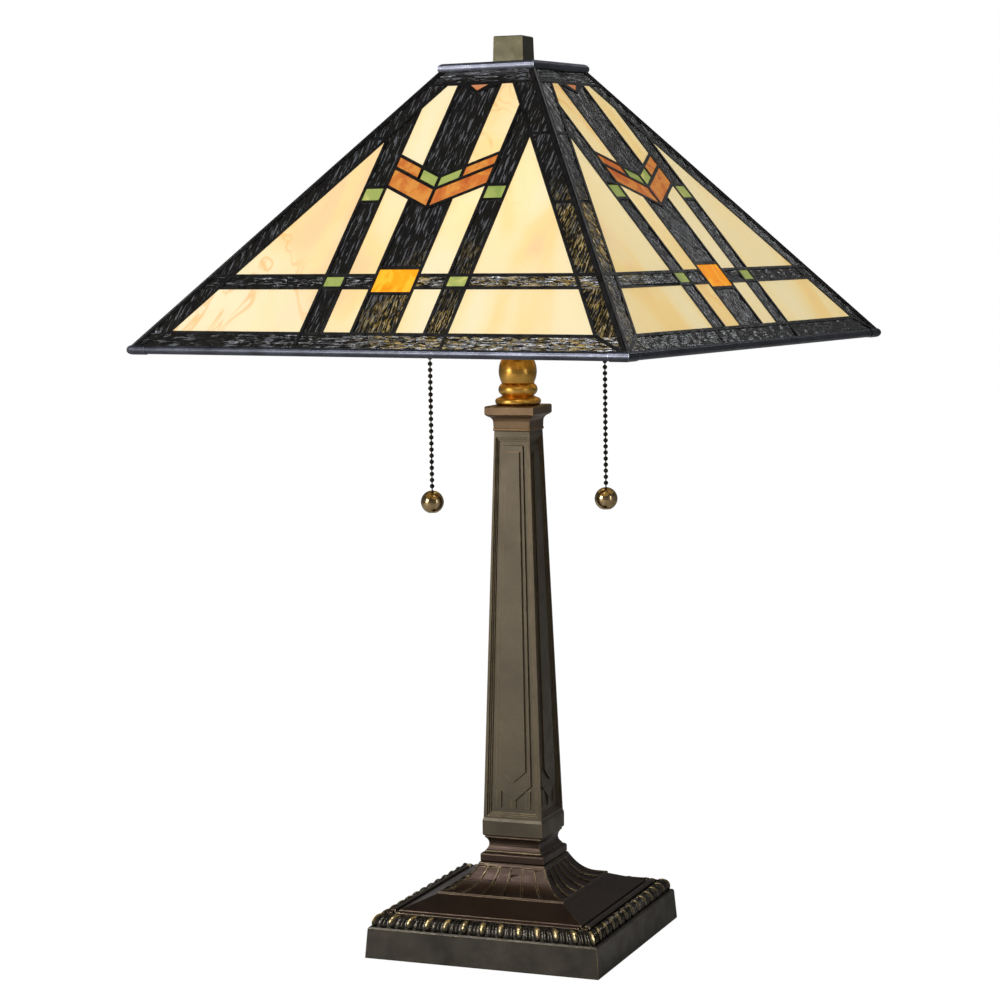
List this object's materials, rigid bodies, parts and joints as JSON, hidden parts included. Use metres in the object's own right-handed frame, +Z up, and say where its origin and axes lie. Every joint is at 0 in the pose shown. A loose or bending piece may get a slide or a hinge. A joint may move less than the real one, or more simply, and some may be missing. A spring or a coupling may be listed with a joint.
{
  "type": "stained glass table lamp",
  "caption": "Table lamp with a square pyramid shade of leaded art glass on a tapered cast column, with ball-chain pulls and a square finial.",
  "frame": {"origin": "centre of the base's footprint, on the surface the lamp stands on", "axes": "+Z up the column; -Y out of the front of the base; the cord bushing is in the base's back, towards +Y; the shade is turned 9.5 degrees from the base about Z at rest"},
  "size_m": [0.4694, 0.4694, 0.676],
  "materials": {
    "felt": "matt felt",
    "zinc_plate": "plain zinc plate",
    "ballast_iron": "rough casting",
    "dark_bronze": "dark antique bronze with rubbed edges",
    "column_bronze": "brown olive bronze, satin",
    "neck_brass": "antique brass, satin",
    "bushing_plastic": "black",
    "plated_steel": "zinc plated",
    "plain_brass": "machined",
    "socket_brass": "antique brass",
    "phenolic": "moulded",
    "liner_card": "insulating paper",
    "screw_shell_metal": "rolled thread shell",
    "bulb_glass": "frosted, lit",
    "chain_metal": "blackened",
    "ball_brass": "antique brass, dull",
    "lead_came": "soldered, dark patina",
    "cream_glass": "opalescent, streaked",
    "dark_glass": "rippled, iridescent",
    "green_glass": "opalescent green",
    "orange_glass": "opalescent orange",
    "amber_glass": "swirled amber",
    "rim_metal": "gunmetal, satin",
    "finial_bronze": "olive bronze, satin"
  },
  "bodies": {
    "stand": {"felt_pad": "felt", "bottom_plate": "zinc_plate", "base_weight": "ballast_iron", "base_casting": "dark_bronze", "border_moulding": "dark_bronze", "cord_bushing": "bushing_plastic", "base_washer": "plated_steel", "base_nut": "plain_brass", "lamp_pipe": "plated_steel", "column_foot": "dark_bronze", "column": "column_bronze", "capital": "dark_bronze", "turned_neck": "neck_brass", "cluster_hub": "socket_brass", "cluster_arms": "plain_brass", "switch_blocks": "phenolic", "socket_liners": "liner_card", "screw_shells": "screw_shell_metal", "riser_tube": "plated_steel", "lock_nut": "plain_brass", "shade_rest": "plain_brass", "front_socket_cap": "socket_brass", "front_socket_shell": "socket_brass", "front_bulb_cap": "screw_shell_metal", "front_bulb_glass": "bulb_glass", "back_socket_cap": "socket_brass", "back_socket_shell": "socket_brass", "back_bulb_cap": "screw_shell_metal", "back_bulb_glass": "bulb_glass", "left_switch_shell": "socket_brass", "right_switch_shell": "socket_brass"},
    "shade": {"front_came": "lead_came", "front_cream_glass": "cream_glass", "front_dark_glass": "dark_glass", "right_came": "lead_came", "right_cream_glass": "cream_glass", "right_dark_glass": "dark_glass", "back_came": "lead_came", "back_cream_glass": "cream_glass", "back_dark_glass": "dark_glass", "left_came": "lead_came", "left_cream_glass": "cream_glass", "left_dark_glass": "dark_glass", "green_glass": "green_glass", "orange_glass": "orange_glass", "amber_glass": "amber_glass", "hip_solder": "lead_came", "rim_channel": "rim_metal", "top_ring": "rim_metal", "vent_cap": "rim_metal"},
    "finial_insert": {"finial_insert": "plain_brass"},
    "finial": {"finial": "finial_bronze"},
    "left_pull_link": {"left_pull_link": "chain_metal"},
    "left_chain_swivel": {"left_chain_swivel": "chain_metal"},
    "left_chain": {"left_chain": "chain_metal", "left_pull_ball": "ball_brass"},
    "right_pull_link": {"right_pull_link": "chain_metal"},
    "right_chain_swivel": {"right_chain_swivel": "chain_metal"},
    "right_chain": {"right_chain": "chain_metal", "right_pull_ball": "ball_brass"}
  },
  "joints": [
    {"name": "shade_swivel", "type": "hinge", "parent": "stand", "child": "shade", "pos_m": [0, 0, 0.652], "axis": [0, 0, 1], "continuous": true},
    {"name": "finial_rise", "type": "slide", "parent": "stand", "child": "finial_insert", "axis": [0, 0, 1], "range_m": [0, 0.0076]},
    {"name": "finial_turn", "type": "hinge", "parent": "finial_insert", "child": "finial", "pos_m": [0, 0, 0.66], "axis": [0, 0, 1], "range_deg": [0, 2880]},
    {"name": "left_pull", "type": "slide", "parent": "stand", "child": "left_pull_link", "axis": [0, 0, -1], "range_m": [0, 0.008], "stiffness_N_per_m": 1000, "springref_m": -0.002},
    {"name": "left_swing", "type": "hinge", "parent": "left_pull_link", "child": "left_chain_swivel", "pos_m": [-0.05891, -0.02747, 0.44735], "axis": [-0.4226, 0.9063, 0], "range_deg": [-12, 45]},
    {"name": "left_sway", "type": "hinge", "parent": "left_chain_swivel", "child": "left_chain", "pos_m": [-0.05891, -0.02747, 0.4428], "axis": [-0.9063, -0.4226, 0], "range_deg": [-45, 45]},
    {"name": "right_pull", "type": "slide", "parent": "stand", "child": "right_pull_link", "axis": [0, 0, -1], "range_m": [0, 0.008], "stiffness_N_per_m": 1000, "springref_m": -0.002},
    {"name": "right_swing", "type": "hinge", "parent": "right_pull_link", "child": "right_chain_swivel", "pos_m": [0.05891, 0.02747, 0.44735], "axis": [0.4226, -0.9063, 0], "range_deg": [-12, 45]},
    {"name": "right_sway", "type": "hinge", "parent": "right_chain_swivel", "child": "right_chain", "pos_m": [0.05891, 0.02747, 0.4428], "axis": [0.9063, 0.4226, 0], "range_deg": [-45, 45]}
  ],
  "couplings": [
    {"joint": "finial_rise", "follows": "finial_turn", "m_per_rad": 0.00014961}
  ]
}
